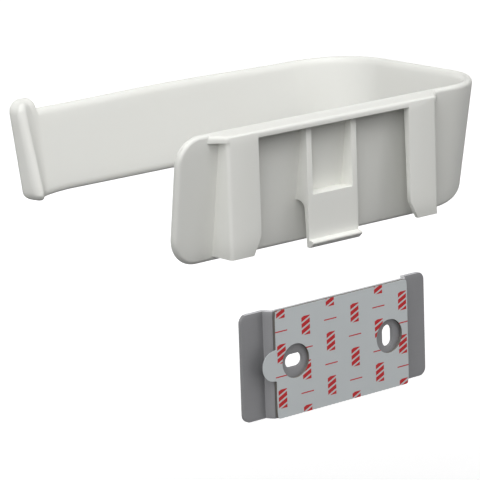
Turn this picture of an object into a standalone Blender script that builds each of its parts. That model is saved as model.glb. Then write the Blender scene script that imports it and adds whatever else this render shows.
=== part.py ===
"""Toilet roll holder for a wall, with its steel wall plate slid out below it.

One moulded body is a band that runs from a flat panel at the wall, round a side wall, to a free arm that
carries the roll. The arm ends in a lip. On the wall side of the panel are a ledge, two rails and a snap
tongue. The steel plate, with foam tape and a release liner on its face, sticks to the wall and slides up
between the rails until the tongue's hook catches below it.

Metres, +Z up. The wall lies towards +Y and the user towards -Y. The origin is the middle of the ledge's
wall-side face. Depths are measured down from the ledge's top face.
"""
import math

import bmesh
import bpy
from mathutils import Matrix, Vector

GAP = 0.0003  # between pieces that rest on each other
STUCK_GAP = 0.00005  # between layers that are stuck together

# Band: panel, side wall and arm
WALL = 0.0030
DRAFT = 0.1385  # how far a wall leans inwards for each metre of depth
RIM_RISE = 0.0008  # rim above the ledge's top
RIM_ROUND = 0.0014
PANEL_SETBACK = 0.0043  # from the rails' wall-side faces to the panel, at the ledge's top
PANEL_END_X = 0.0608
PANEL_DEPTH = 0.0418
PANEL_TOP_CORNER = 0.0090
PANEL_FOOT_CORNER = 0.0100
SIDE_X = 0.0790
FRONT_Y = 0.0857
BACK_CORNER = 0.0230
FRONT_CORNER = 0.0246
ARM_DEPTH = 0.0280
ARM_FLARE_X = 0.0500  # from here to the lip the arm's lower edge drops
ARM_FLARE = 0.0005
STEP_LEAD = 0.0120  # the lower edge starts to rise this far before the back corner
STEP_LENGTH = 0.0900  # along the outer face
CORNER_STEPS = 10
LEAD_STEPS = 3
SIDE_STEPS = 6

# Lip at the arm's end, where the arm thickens into a ridge and rises to a crest
LIP_START_X = 0.0572
LIP_END_X = 0.0680
LIP_REACH = 0.0026  # from the arm's inner face to the ridge, level with the ledge's top
LIP_REACH_GROWTH = 0.0760  # for each metre of depth
LIP_SLANT = math.radians(17)  # how far the end face turns towards the wall
LIP_CORNER_ROUND = 0.0016  # between the arm's outer face and the end face
LIP_RIDGE_ROUND = 0.0017  # between the end face and the arm's hollow
LIP_RISE = 0.0044  # crest above the ledge's top
LIP_CLIMB_START = 0.0022  # from the lip's start to where the rim starts to climb
LIP_CLIMB = 0.0050
LIP_DEPTH = 0.0290
LIP_FOOT_DROP = 0.0060  # length over which the lower edge drops to that depth
LIP_END_ROUND = 0.0036  # from the crest and the foot to the end face
LIP_TOP_ROUND = 0.0030  # across the crest
LIP_FOOT_ROUND = 0.0014
LIP_LEAN = 0.0420  # how far the end face leans back for each metre of depth
LIP_SUNK_END = 0.0030  # how far the plain arm runs on inside the lip
LIP_PROUD = 0.00003  # how far the lip's outer face stands out of the arm's, so that the two cross cleanly
LIP_STEPS = 5

# Ledge and rails
LEDGE_THICKNESS = 0.0022
LEDGE_OVERHANG = 0.0042  # past each rail, where the ledge meets the panel
RAIL_HALF_SPAN = 0.0445  # to a rail's outer face
RAIL_WALL = 0.0021
RAIL_DEPTH = 0.0401
RAIL_LIP_EDGE_X = 0.0324
RAIL_LIP_TOP = 0.0025
RAIL_LIP_BOTTOM = 0.0015
LEAD_IN_DEPTH = 0.0340
LEAD_IN_WIDTH = 0.0032

# Ribs, web and snap tongue
RIB_HALF_SPAN = 0.0107
RIB_WIDTH = 0.0021
RIB_SETBACK = 0.0020
WEB_TOP = 0.0250
WEB_THICKNESS = 0.0021
TONGUE_DEPTH = 0.0423
TONGUE_ROOT = 0.0018
TONGUE_TIP = 0.0012
HOOK_REACH = 0.0019
CATCH_DEPTH = 0.0397
CATCH_SLOPE = 0.0005
RAMP_HEIGHT = 0.0021
RAMP_TOE = 0.0003

# Wall plate
PLATE_WIDTH = 0.0800
PLATE_HEIGHT = 0.0360
PLATE_CORNER = 0.0028
SHEET = 0.0012
PLATE_SETBACK = 0.0001  # from the rails' wall-side faces to the plate's raised middle
JOGGLE = 0.0027
JOGGLE_TOP_X = 0.0293
JOGGLE_FOOT_X = 0.0305
SLOT_WIDTH = 0.0045
SLOT_LENGTH = 0.0074
SLOT_X = 0.0205
TRAVEL = 0.0570  # from where the plate lies taken off to its home below the ledge

# Foam tape and release liner
TAPE_HALF_WIDTH = 0.0288
TAPE_THICKNESS = 0.00085
TAPE_CORNER = 0.0012
TAPE_HOLE_RADIUS = 0.00575
LINER_THICKNESS = 0.00015
TAB_RADIUS = 0.0053

LEDGE_TOP = LEDGE_THICKNESS / 2
RIM_Z = LEDGE_TOP + RIM_RISE
SUNK = 0.0010  # how far an added piece runs into the wall that it grows from
HOLE_STEPS = 32


def height(depth):
    """Z of a depth below the ledge's top face."""
    return LEDGE_TOP - depth


def lean(z):
    """How far the band's walls have moved inwards at height z."""
    return DRAFT * (LEDGE_TOP - z)


def panel_y(z, into=0.0):
    """Y of the panel's wall-side face at height z, or of a plane inside the panel."""
    return -(PANEL_SETBACK + lean(z) + into)


def empty_scene():
    """Remove every object of the scene that is open."""
    for item in list(bpy.data.objects):
        bpy.data.objects.remove(item, do_unlink=True)


def collection(name):
    """A new collection, linked to the scene."""
    made = bpy.data.collections.new(name)
    bpy.context.scene.collection.children.link(made)
    return made


def material(name, colour, roughness, metallic=0.0):
    """A plain Principled material."""
    made = bpy.data.materials.new(name)
    made.use_nodes = True
    shader = made.node_tree.nodes["Principled BSDF"]
    shader.inputs["Base Color"].default_value = (*colour, 1.0)
    shader.inputs["Roughness"].default_value = roughness
    shader.inputs["Metallic"].default_value = metallic
    return made


def add_object(name, mesh, home, finish=None):
    """An object that shows a mesh, in a collection."""
    made = bpy.data.objects.new(name, mesh)
    home.objects.link(made)
    if finish:
        mesh.materials.append(finish)
    return made


def hide(item):
    """Mark an object as a guide or cutter."""
    item.hide_render = True
    item.display_type = "WIRE"


def arc(centre, radius, start, end, steps):
    """Points along an arc, both ends included, with angles in degrees."""
    turns = [math.radians(start + (end - start) * k / steps) for k in range(steps + 1)]
    return [(centre[0] + radius * math.cos(t), centre[1] + radius * math.sin(t)) for t in turns]


def rounded(points, radii, steps=5):
    """A closed outline whose corners are arcs of the given radii. A radius of 0 keeps its corner."""
    outline = []
    count = len(points)
    for k, radius in enumerate(radii):
        here = Vector(points[k])
        if radius == 0:
            outline.append(tuple(here))
            continue
        back = (Vector(points[k - 1]) - here).normalized()
        on = (Vector(points[(k + 1) % count]) - here).normalized()
        half = back.angle(on) / 2
        centre = here + (back + on).normalized() * (radius / math.sin(half))
        first = here + back * (radius / math.tan(half)) - centre
        last = here + on * (radius / math.tan(half)) - centre
        sweep = first.angle_signed(last)
        for step in range(steps + 1):
            outline.append(tuple(centre + Matrix.Rotation(-sweep * step / steps, 2) @ first))
    return outline


def rectangle(low, high):
    """The corners of a rectangle."""
    return [(low[0], low[1]), (high[0], low[1]), (high[0], high[1]), (low[0], high[1])]


PLAN = Matrix.Identity(4)
# Outline drawn in Y and Z, thick along X
SIDE = Matrix(((0, 0, 1, 0), (1, 0, 0, 0), (0, 1, 0, 0), (0, 0, 0, 1)))
# Outline drawn in X and Z, thick along Y
FRONT = Matrix(((1, 0, 0, 0), (0, 0, -1, 0), (0, 1, 0, 0), (0, 0, 0, 1)))


def flat_piece(name, outlines, low, high, view, home, finish=None):
    """A flat piece with the given outlines, from low to high along the view's thick direction."""
    curve = bpy.data.curves.new(name + "_outline", "CURVE")
    curve.dimensions = "2D"
    curve.fill_mode = "BOTH"
    curve.extrude = abs(high - low) / 2
    for outline in outlines:
        spline = curve.splines.new("POLY")
        spline.points.add(len(outline) - 1)
        for point, place in zip(spline.points, outline):
            point.co = (place[0], place[1], 0.0, 1.0)
        spline.use_cyclic_u = True
    guide = add_object(name + "_outline", curve, home)
    bpy.context.view_layer.update()
    mesh = bpy.data.meshes.new_from_object(guide.evaluated_get(bpy.context.evaluated_depsgraph_get()))
    bpy.data.objects.remove(guide, do_unlink=True)
    thick_way = Vector([abs(share) for share in view.col[2][:3]])
    placed = Matrix.Translation(thick_way * (low + high) / 2) @ view
    work = bmesh.new()
    work.from_mesh(mesh)
    bmesh.ops.remove_doubles(work, verts=work.verts, dist=0.00001)
    bmesh.ops.transform(work, matrix=placed, verts=work.verts)
    bmesh.ops.recalc_face_normals(work, faces=work.faces)
    work.to_mesh(mesh)
    work.free()
    mesh.name = name
    return add_object(name, mesh, home, finish)


def boolean(item, other, operation):
    """Join, cut or intersect an object with a guide object."""
    step = item.modifiers.new(operation.lower() + "_" + other.name, "BOOLEAN")
    step.object = other
    step.operation = operation
    step.solver = "EXACT"
    hide(other)


def smooth(item):
    """Shade the faces of round stretches smooth."""
    item.data.shade_smooth()
    item.data.set_sharp_from_angle(angle=math.radians(35))


def ease(t):
    """A smooth rise from 0 to 1."""
    t = min(max(t, 0.0), 1.0)
    return t * t * (3 - 2 * t)


def lower_edge(travel):
    """Height of the band's lower edge at a distance past the start of the back corner, along the outer face."""
    rise = ease((travel + STEP_LEAD) / STEP_LENGTH)
    return height(PANEL_DEPTH + (ARM_DEPTH - PANEL_DEPTH) * rise)


def arm_foot(x):
    """Height of the arm's lower edge at X."""
    return height(ARM_DEPTH + ARM_FLARE * max(x - ARM_FLARE_X, 0.0) / (LIP_END_X - ARM_FLARE_X))


def band_stations():
    """Stations along the band's outer face at the ledge's top: place, outward normal, top and lower height."""
    stations = []
    back = -PANEL_SETBACK
    foot = height(PANEL_DEPTH)
    for turn in (0, 15, 30, 45, 60, 75, 90):
        along = 1 - math.cos(math.radians(turn))
        short = 1 - math.sin(math.radians(turn))
        x = PANEL_END_X - PANEL_FOOT_CORNER * along
        top = RIM_Z - PANEL_TOP_CORNER * short
        stations.append(((x, back), (0, 1), top, foot + PANEL_FOOT_CORNER * short))
    corner = (-SIDE_X + BACK_CORNER, back - BACK_CORNER)
    for step in range(LEAD_STEPS):
        travel = -STEP_LEAD * (1 - step / LEAD_STEPS)
        stations.append(((corner[0] - travel, back), (0, 1), RIM_Z, lower_edge(travel)))
    for x, y in arc(corner, BACK_CORNER, 90, 180, CORNER_STEPS):
        normal = ((x - corner[0]) / BACK_CORNER, (y - corner[1]) / BACK_CORNER)
        travel = BACK_CORNER * (math.atan2(normal[1], normal[0]) % (2 * math.pi) - math.pi / 2)
        stations.append(((x, y), normal, RIM_Z, lower_edge(travel)))
    back_arc = BACK_CORNER * math.pi / 2
    corner_y = -FRONT_Y + FRONT_CORNER
    straight = corner[1] - corner_y
    for step in range(1, SIDE_STEPS):
        along = straight * step / SIDE_STEPS
        stations.append(((-SIDE_X, corner[1] - along), (-1, 0), RIM_Z, lower_edge(back_arc + along)))
    corner = (-SIDE_X + FRONT_CORNER, corner_y)
    for x, y in arc(corner, FRONT_CORNER, 180, 270, CORNER_STEPS):
        normal = ((x - corner[0]) / FRONT_CORNER, (y - corner[1]) / FRONT_CORNER)
        turned = math.atan2(normal[1], normal[0]) % (2 * math.pi) - math.pi
        travel = back_arc + straight + FRONT_CORNER * turned
        stations.append(((x, y), normal, RIM_Z, lower_edge(travel)))
    for x in (ARM_FLARE_X, LIP_START_X + LIP_SUNK_END):
        stations.append(((x, -FRONT_Y), (0, -1), RIM_Z, arm_foot(x)))
    return stations


def make_band(home, finish):
    """The band as one leaning strip, thickened inwards and rounded along its edges."""
    work = bmesh.new()
    rows = []
    for place, normal, top, foot in band_stations():
        pair = []
        for z in (top, foot):
            pair.append(work.verts.new((place[0] - normal[0] * lean(z), place[1] - normal[1] * lean(z), z)))
        rows.append(pair)
    for first, second in zip(rows, rows[1:]):
        work.faces.new((first[0], first[1], second[1], second[0]))
    mesh = bpy.data.meshes.new("holder_body")
    work.to_mesh(mesh)
    work.free()
    body = add_object("holder_body", mesh, home, finish)
    shell = body.modifiers.new("wall", "SOLIDIFY")
    shell.thickness = WALL
    shell.offset = -1.0
    shell.use_even_offset = True
    round_off = body.modifiers.new("round_edges", "BEVEL")
    round_off.width = RIM_ROUND
    round_off.segments = 3
    round_off.limit_method = "ANGLE"
    round_off.angle_limit = math.radians(50)
    return body


def lip_plan():
    """Plan of the lip, level with the ledge: centres of its corner and its ridge, and the hollow's radius."""
    corner = Vector((LIP_END_X - LIP_CORNER_ROUND, -FRONT_Y + LIP_CORNER_ROUND))
    inner = -FRONT_Y + WALL
    ridge_y = inner + LIP_REACH - LIP_RIDGE_ROUND
    across = LIP_CORNER_ROUND - LIP_RIDGE_ROUND - (ridge_y - corner.y) * math.sin(LIP_SLANT)
    ridge = Vector((corner.x + across / math.cos(LIP_SLANT), ridge_y))
    run, rise = ridge.x - LIP_START_X, ridge.y - inner
    return corner, ridge, (run ** 2 + rise ** 2 - LIP_RIDGE_ROUND ** 2) / (2 * LIP_REACH)


def lip_faces(x):
    """Y of the lip's outer and wall-side faces at X, level with the ledge.

    From the arm the wall-side face goes up a hollow arc, over the ridge and back along the slanted end face.
    """
    corner, ridge, hollow = lip_plan()
    past_corner = max(x - corner.x, 0.0)
    outer = corner.y - math.sqrt(LIP_CORNER_ROUND ** 2 - past_corner ** 2) - LIP_PROUD
    meet = LIP_START_X + hollow * (ridge.x - LIP_START_X) / (hollow + LIP_RIDGE_ROUND)
    if x < meet:
        rise = hollow - math.sqrt(hollow ** 2 - max(x - LIP_START_X, 0.0) ** 2)
        return outer, -FRONT_Y + WALL + rise
    if x < ridge.x + LIP_RIDGE_ROUND * math.cos(LIP_SLANT):
        return outer, ridge.y + math.sqrt(LIP_RIDGE_ROUND ** 2 - (x - ridge.x) ** 2)
    if x < corner.x + LIP_CORNER_ROUND * math.cos(LIP_SLANT):
        return outer, corner.y + (LIP_CORNER_ROUND - (x - corner.x) * math.cos(LIP_SLANT)) / math.sin(LIP_SLANT)
    return outer, corner.y + math.sqrt(LIP_CORNER_ROUND ** 2 - past_corner ** 2)


def lip_heights(x):
    """Heights of the lip's top and lower edge at X, both rounded off towards the end face."""
    climb = (x - LIP_START_X - LIP_CLIMB_START) / LIP_CLIMB
    climb = min(max(climb, 0.0), 1.0)
    top = RIM_Z + (LIP_RISE - RIM_RISE) * math.sqrt(1 - (1 - climb) ** 2)
    foot = arm_foot(x) - (LIP_DEPTH - ARM_DEPTH - ARM_FLARE) * ease((x - LIP_START_X) / LIP_FOOT_DROP)
    past = max(x - LIP_END_X + LIP_END_ROUND, 0.0)
    back = LIP_END_ROUND - math.sqrt(LIP_END_ROUND ** 2 - past ** 2)
    return top - back, foot + back


def lip_ring(x, inset):
    """The lip cut across at X: four rounded corners, leaning with the arm, the ridge and the end face."""
    outer, inner = lip_faces(x)
    top, foot = lip_heights(x)
    outer, inner, top, foot = outer + inset, inner - inset, top - inset, foot + inset
    growth = LIP_REACH_GROWTH * max(inner + FRONT_Y - WALL, 0.0) / LIP_REACH
    corners = []
    for y, z, slope in ((outer, foot, 0.0), (inner, foot, growth), (inner, top, growth), (outer, top, 0.0)):
        corners.append((y + (DRAFT + slope) * (LEDGE_TOP - z), z))
    thin = (inner - outer) * 0.4
    radii = [min(LIP_FOOT_ROUND, thin)] * 2 + [min(LIP_TOP_ROUND, thin)] * 2
    lean_back = LIP_LEAN * ease((x - LIP_START_X) / (LIP_END_X - LIP_START_X))
    outline = rounded(corners, radii, LIP_STEPS)
    return [(x - lean_back * (LEDGE_TOP - z), y, z) for y, z in outline]


def make_lip(home):
    """The lip as a loft of sections across the arm, close together where it curves most."""
    corner, ridge, _ = lip_plan()
    crest_x = LIP_START_X + LIP_CLIMB_START + LIP_CLIMB
    places = [LIP_START_X]
    places += [LIP_START_X + LIP_CLIMB_START + LIP_CLIMB * share for share in (0.02, 0.09, 0.22, 0.42, 0.7)]
    turned = ridge.x + LIP_RIDGE_ROUND * math.cos(LIP_SLANT)
    flat_end = corner.x + LIP_CORNER_ROUND * math.cos(LIP_SLANT)
    places += [crest_x, (crest_x + turned) / 2, turned, (turned + flat_end) / 2, flat_end]
    rings = [lip_ring(x, GAP if x == LIP_START_X else 0.0) for x in places]
    work = bmesh.new()
    rows = [[work.verts.new(place) for place in ring] for ring in rings]
    count = len(rows[0])
    work.faces.new(rows[0])
    work.faces.new(list(reversed(rows[-1])))
    for near, far in zip(rows, rows[1:]):
        for k in range(count):
            other = (k + 1) % count
            work.faces.new((near[other], near[k], far[k], far[other]))
    bmesh.ops.recalc_face_normals(work, faces=work.faces)
    mesh = bpy.data.meshes.new("lip")
    work.to_mesh(mesh)
    work.free()
    return add_object("lip", mesh, home)


def make_ledge(home):
    """The ledge above the rails, wider where it meets the panel."""
    inner = panel_y(LEDGE_TOP, SUNK)
    wide = RAIL_HALF_SPAN + LEDGE_OVERHANG
    outline = [(-RAIL_HALF_SPAN, 0.0), (-wide, panel_y(LEDGE_TOP)), (-wide, inner)]
    outline += [(wide, inner), (wide, panel_y(LEDGE_TOP)), (RAIL_HALF_SPAN, 0.0)]
    return flat_piece("ledge", [outline], height(LEDGE_THICKNESS), LEDGE_TOP, PLAN, home)


def make_rail(side, name, home):
    """One rail: a wall that stands off the panel and a lip that holds the plate's flange."""
    top = height(SUNK)
    foot = height(RAIL_DEPTH)
    outline = [(0.0, top), (0.0, foot), (panel_y(foot, SUNK), foot), (panel_y(top, SUNK), top)]
    faces = sorted((side * RAIL_HALF_SPAN, side * (RAIL_HALF_SPAN - RAIL_WALL)))
    wall = flat_piece(name + "_wall", [outline], faces[0], faces[1], SIDE, home)
    lead_in = side * (RAIL_LIP_EDGE_X + LEAD_IN_WIDTH)
    edge = side * RAIL_LIP_EDGE_X
    inside = side * (RAIL_HALF_SPAN - RAIL_WALL / 2)
    outline = [(edge, top), (inside, top), (inside, foot), (lead_in, foot), (edge, height(LEAD_IN_DEPTH))]
    lip = flat_piece(name + "_lip", [outline], -RAIL_LIP_TOP, 0.0, FRONT, home)
    for vertex in lip.data.vertices:
        if vertex.co.y < -RAIL_LIP_TOP / 2:
            share = (LEDGE_TOP - vertex.co.z) / RAIL_DEPTH
            vertex.co.y = -(RAIL_LIP_TOP + (RAIL_LIP_BOTTOM - RAIL_LIP_TOP) * share)
    return [wall, lip]


def make_ribs(home):
    """The two ribs above the tongue and the web that joins them at their feet."""
    pieces = []
    top = height(SUNK)
    foot = height(WEB_TOP + WEB_THICKNESS)
    outline = [(-RIB_SETBACK, top), (-RIB_SETBACK, foot)]
    outline += [(panel_y(foot, SUNK), foot), (panel_y(top, SUNK), top)]
    for side, name in ((-1, "rib_right"), (1, "rib_left")):
        faces = sorted((side * RIB_HALF_SPAN, side * (RIB_HALF_SPAN - RIB_WIDTH)))
        pieces.append(flat_piece(name, [outline], faces[0], faces[1], SIDE, home))
    top = height(WEB_TOP)
    outline = [(-RIB_SETBACK, top), (-RIB_SETBACK, foot)]
    outline += [(panel_y(foot, SUNK), foot), (panel_y(top, SUNK), top)]
    half = RIB_HALF_SPAN - RIB_WIDTH / 2
    pieces.append(flat_piece("web", [outline], -half, half, SIDE, home))
    return pieces


def make_holder(parts, cutters, finish):
    """The moulded body: the band with its lip, ledge, rails, ribs and web joined on."""
    body = make_band(parts, finish)
    added = []
    for side, name in ((-1, "rail_right"), (1, "rail_left")):
        added += make_rail(side, name, cutters)
    added += [make_ledge(cutters), *make_ribs(cutters), make_lip(cutters)]
    for piece in added:
        boolean(body, piece, "UNION")
    smooth(body)
    return body


def make_tongue(parts, finish):
    """The springy tongue below the web, with a hook along its foot. It bends at its root."""
    root = height(WEB_TOP + WEB_THICKNESS + GAP)
    foot = height(TONGUE_DEPTH)
    face = -RIB_SETBACK
    nose = face + HOOK_REACH
    catch = height(CATCH_DEPTH)
    outline = [(face, root), (face, catch), (nose, catch - CATCH_SLOPE)]
    outline += [(face + RAMP_TOE, catch - CATCH_SLOPE - RAMP_HEIGHT), (face, foot)]
    outline += [(face - TONGUE_TIP, foot), (face - TONGUE_ROOT, root)]
    pivot = Vector((0.0, face - TONGUE_ROOT / 2, root))
    outline = [(y - pivot.y, z - pivot.z) for y, z in outline]
    tongue = flat_piece("snap_tongue", [outline], -RIB_HALF_SPAN, RIB_HALF_SPAN, SIDE, parts, finish)
    tongue.location = pivot
    return tongue


def stadium(centre_x, length, width):
    """A slot's outline about a centre on the X axis, as long as length along X and width along Y."""
    half = (length - width) / 2
    steps = HOLE_STEPS // 2
    right = arc((centre_x + half, 0.0), width / 2, -90, 90, steps)
    return right + arc((centre_x - half, 0.0), width / 2, 90, 270, steps)


def circle(centre_x, radius):
    """A round hole's outline about a centre on the X axis."""
    return arc((centre_x, 0.0), radius, 0, 360, HOLE_STEPS)[:-1]


def make_plate(parts, cutters, carrier, finish):
    """The steel plate: a raised middle between two flanges, with a screw slot each side."""
    middle_y = -(PLATE_SETBACK + SHEET / 2)
    flange_y = middle_y - JOGGLE
    half = PLATE_WIDTH / 2
    profile = [(half, flange_y), (JOGGLE_FOOT_X, flange_y), (JOGGLE_TOP_X, middle_y)]
    profile += [(-x, y) for x, y in reversed(profile)]
    work = bmesh.new()
    rows = [[work.verts.new((x, y, z)) for x, y in profile] for z in (-PLATE_HEIGHT / 2, PLATE_HEIGHT / 2)]
    for k in range(len(profile) - 1):
        work.faces.new((rows[0][k], rows[1][k], rows[1][k + 1], rows[0][k + 1]))
    mesh = bpy.data.meshes.new("wall_plate")
    work.to_mesh(mesh)
    work.free()
    plate = add_object("wall_plate", mesh, parts, finish)
    sheet = plate.modifiers.new("sheet", "SOLIDIFY")
    sheet.thickness = SHEET
    sheet.offset = 0.0
    sheet.use_even_offset = True
    blank = rounded(rectangle((-half, -PLATE_HEIGHT / 2), (half, PLATE_HEIGHT / 2)), [PLATE_CORNER] * 4)
    behind = flange_y - SHEET
    shape = flat_piece("plate_blank", [blank], behind, SHEET, FRONT, cutters)
    level = flat_piece("slot_left", [stadium(SLOT_X, SLOT_LENGTH, SLOT_WIDTH)], behind, SHEET, FRONT, cutters)
    upright = [(-SLOT_X - y, x) for x, y in stadium(0.0, SLOT_LENGTH, SLOT_WIDTH)]
    other = flat_piece("slot_right", [upright], behind, SHEET, FRONT, cutters)
    for item in (plate, shape, level, other):
        item.parent = carrier
    boolean(plate, shape, "INTERSECT")
    boolean(plate, level, "DIFFERENCE")
    boolean(plate, other, "DIFFERENCE")
    smooth(plate)
    return plate


def make_tape(parts, carrier, finish):
    """The double-sided foam tape on the plate's raised middle, with a round hole over each slot."""
    low = (-TAPE_HALF_WIDTH, -PLATE_HEIGHT / 2)
    high = (TAPE_HALF_WIDTH, PLATE_HEIGHT / 2)
    outline = rounded(rectangle(low, high), [TAPE_CORNER] * 4)
    holes = [circle(-SLOT_X, TAPE_HOLE_RADIUS), circle(SLOT_X, TAPE_HOLE_RADIUS)]
    back = -PLATE_SETBACK + STUCK_GAP
    tape = flat_piece("foam_tape", [outline] + holes, back, back + TAPE_THICKNESS, FRONT, parts, finish)
    tape.parent = carrier
    smooth(tape)
    return tape


def make_liner(parts, carrier, finish):
    """The release liner over the tape, with a half-round pull tab at the middle of one edge."""
    half_height = PLATE_HEIGHT / 2
    low = (-TAPE_HALF_WIDTH, -half_height)
    high = (TAPE_HALF_WIDTH, half_height)
    outline = rounded(rectangle(low, high), [TAPE_CORNER] * 4)
    edge = max(k for k, place in enumerate(outline) if place[1] < 0 and place[0] > 0)
    tab = arc((TAPE_HALF_WIDTH, 0.0), TAB_RADIUS, -90, 90, HOLE_STEPS // 2)
    outline = outline[: edge + 1] + tab + outline[edge + 1 :]
    holes = [circle(-SLOT_X, TAPE_HOLE_RADIUS), circle(SLOT_X, TAPE_HOLE_RADIUS)]
    back = -PLATE_SETBACK + TAPE_THICKNESS + 2 * STUCK_GAP
    liner = flat_piece("release_liner", [outline] + holes, back, back + LINER_THICKNESS, FRONT, parts, finish)
    liner.parent = carrier
    smooth(liner)
    return liner


def main():
    """Model the holder and its wall plate."""
    empty_scene()
    parts = collection("toilet_roll_holder")
    cutters = collection("cutters")
    plastic = material("white_abs", (0.80, 0.80, 0.77), 0.22)
    tongue_plastic = material("white_abs_tongue", (0.80, 0.80, 0.77), 0.22)
    steel = material("satin_steel", (0.36, 0.36, 0.37), 0.38, 1.0)
    foam = material("grey_foam", (0.155, 0.145, 0.130), 0.9)
    paper = material("release_paper", (0.50, 0.53, 0.54), 0.35)
    make_holder(parts, cutters, plastic)
    make_tongue(parts, tongue_plastic)
    carrier = bpy.data.objects.new("plate_place", None)
    parts.objects.link(carrier)
    home_z = height(LEDGE_THICKNESS + GAP) - PLATE_HEIGHT / 2
    carrier.location = (0.0, 0.0, home_z - TRAVEL)
    make_plate(parts, cutters, carrier, steel)
    make_tape(parts, carrier, foam)
    make_liner(parts, carrier, paper)


main()
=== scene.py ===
"""Looks of the toilet roll holder and its steel wall plate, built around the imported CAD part.

Metres, +Z up, the wall towards +Y and the user towards -Y, as in the CAD. The back plane, y = 0, is the
ledge's wall-side face, and depths are measured down from its top. Every form is a surface worked out with
numpy on a grid, or an outline carried along a line.
"""
import math

import bmesh
import bpy
import numpy as np
from bpy.props import FloatProperty, FloatVectorProperty, PointerProperty
from mathutils import Matrix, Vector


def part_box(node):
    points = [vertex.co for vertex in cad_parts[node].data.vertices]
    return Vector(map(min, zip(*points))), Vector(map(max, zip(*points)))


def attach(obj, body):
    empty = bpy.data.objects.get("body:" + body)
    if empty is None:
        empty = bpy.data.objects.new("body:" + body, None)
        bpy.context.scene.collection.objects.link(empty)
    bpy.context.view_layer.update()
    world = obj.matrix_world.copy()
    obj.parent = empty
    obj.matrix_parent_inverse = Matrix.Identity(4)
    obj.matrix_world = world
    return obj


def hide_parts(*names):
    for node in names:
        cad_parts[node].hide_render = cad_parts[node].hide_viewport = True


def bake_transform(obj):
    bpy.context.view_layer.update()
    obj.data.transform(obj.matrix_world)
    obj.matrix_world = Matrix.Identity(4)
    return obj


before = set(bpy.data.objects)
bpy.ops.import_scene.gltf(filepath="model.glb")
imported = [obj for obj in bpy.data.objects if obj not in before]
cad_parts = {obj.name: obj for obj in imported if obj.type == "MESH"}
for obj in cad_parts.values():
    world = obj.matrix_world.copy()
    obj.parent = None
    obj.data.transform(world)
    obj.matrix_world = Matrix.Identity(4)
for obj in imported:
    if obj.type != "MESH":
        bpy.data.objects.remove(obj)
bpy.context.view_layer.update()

bl_info = {
    "name": "Toilet roll holder",
    "version": (1, 0, 0),
    "blender": (4, 5, 0),
    "location": "3D View > Sidebar > Roll holder",
    "description": "Builds the moulded holder, its snap tongue and its taped steel wall plate",
    "category": "Object",
}

LEDGE_TOP = 0.0011
QUARTER = math.pi / 2


def length(name, default, description):
    """A length in metres that a user may change."""
    return FloatProperty(name=name, default=default, description=description, min=0.0, precision=5,
                         unit="LENGTH")


def colour(name, default, description):
    """A colour that a user may change."""
    return FloatVectorProperty(name=name, default=default, description=description, min=0.0, max=1.0,
                               subtype="COLOR")


class HolderSizes(bpy.types.PropertyGroup):
    """Sizes of the moulded holder."""

    wall: length("Wall", 0.0030, "Thickness of the band's wall")
    side_x: length("Side", 0.0790, "Middle to the side wall's outer face")
    front_y: length("Front", 0.0857, "Back plane to the arm's outer face")
    panel_setback: length("Panel setback", 0.0043, "Back plane to the panel")
    panel_end: length("Panel end", 0.0608, "Middle to the panel's free end")
    panel_depth: length("Panel depth", 0.0418, "Ledge's top to its lower edge")
    arm_depth: length("Arm depth", 0.0280, "Ledge's top to its lower edge")
    back_corner: length("Back corner", 0.0230, "Outer radius between the panel and the side wall")
    front_corner: length("Front corner", 0.0246, "Outer radius between the side wall and the arm")
    rim_rise: length("Rim rise", 0.0008, "Rim above the ledge's top")
    lip_end: length("Lip end", 0.0680, "Middle to the lip's end face")
    lip_rise: length("Lip rise", 0.0044, "Lip's crest above the ledge's top")
    lip_reach: length("Lip reach", 0.0026, "Arm's inner face to the lip's tip")
    rail_span: length("Rail half span", 0.0449, "Middle to a rail's outer face")
    rail_depth: length("Rail depth", 0.0401, "Ledge's top to a rail's foot")
    rib_span: length("Rib half span", 0.0107, "Middle to a rib's outer face")
    tongue_depth: length("Tongue depth", 0.0423, "Ledge's top to the tongue's foot")


class PlateSizes(bpy.types.PropertyGroup):
    """Sizes of the wall plate, its tape and its liner."""

    width: length("Width", 0.0800, "Across both flanges")
    height: length("Height", 0.0360, "Height of the plate and the tape")
    corner: length("Corner", 0.0028, "Radius of the plate's corners")
    sheet: length("Sheet", 0.0012, "Thickness of the steel")
    joggle: length("Joggle", 0.0027, "Step from the middle back to a flange")
    tape_half: length("Tape half width", 0.0288, "Middle to the tape's edge")
    tape: length("Tape", 0.00085, "Thickness of the foam tape")
    hole: length("Tape hole", 0.00575, "Radius of the holes through the tape")
    tab: length("Pull tab", 0.0051, "Radius of the liner's pull tab")


class Finishes(bpy.types.PropertyGroup):
    """Colours of the materials."""

    plastic: colour("Plastic", (0.79, 0.795, 0.765), "Moulded body and tongue")
    steel: colour("Steel", (0.30, 0.30, 0.31), "Wall plate")
    foam: colour("Foam", (0.155, 0.145, 0.130), "Tape")
    paper: colour("Paper", (0.560, 0.590, 0.600), "Release liner")
    print_red: colour("Print", (0.52, 0.012, 0.016), "Marks on the release liner")
    floor: colour("Floor", (0.80, 0.80, 0.80), "Floor")


# Shader maths


def joining(operation):
    """A method that joins a Signal and another value in a Math node."""
    return lambda self, other: self.join(operation, self, other)


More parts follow.
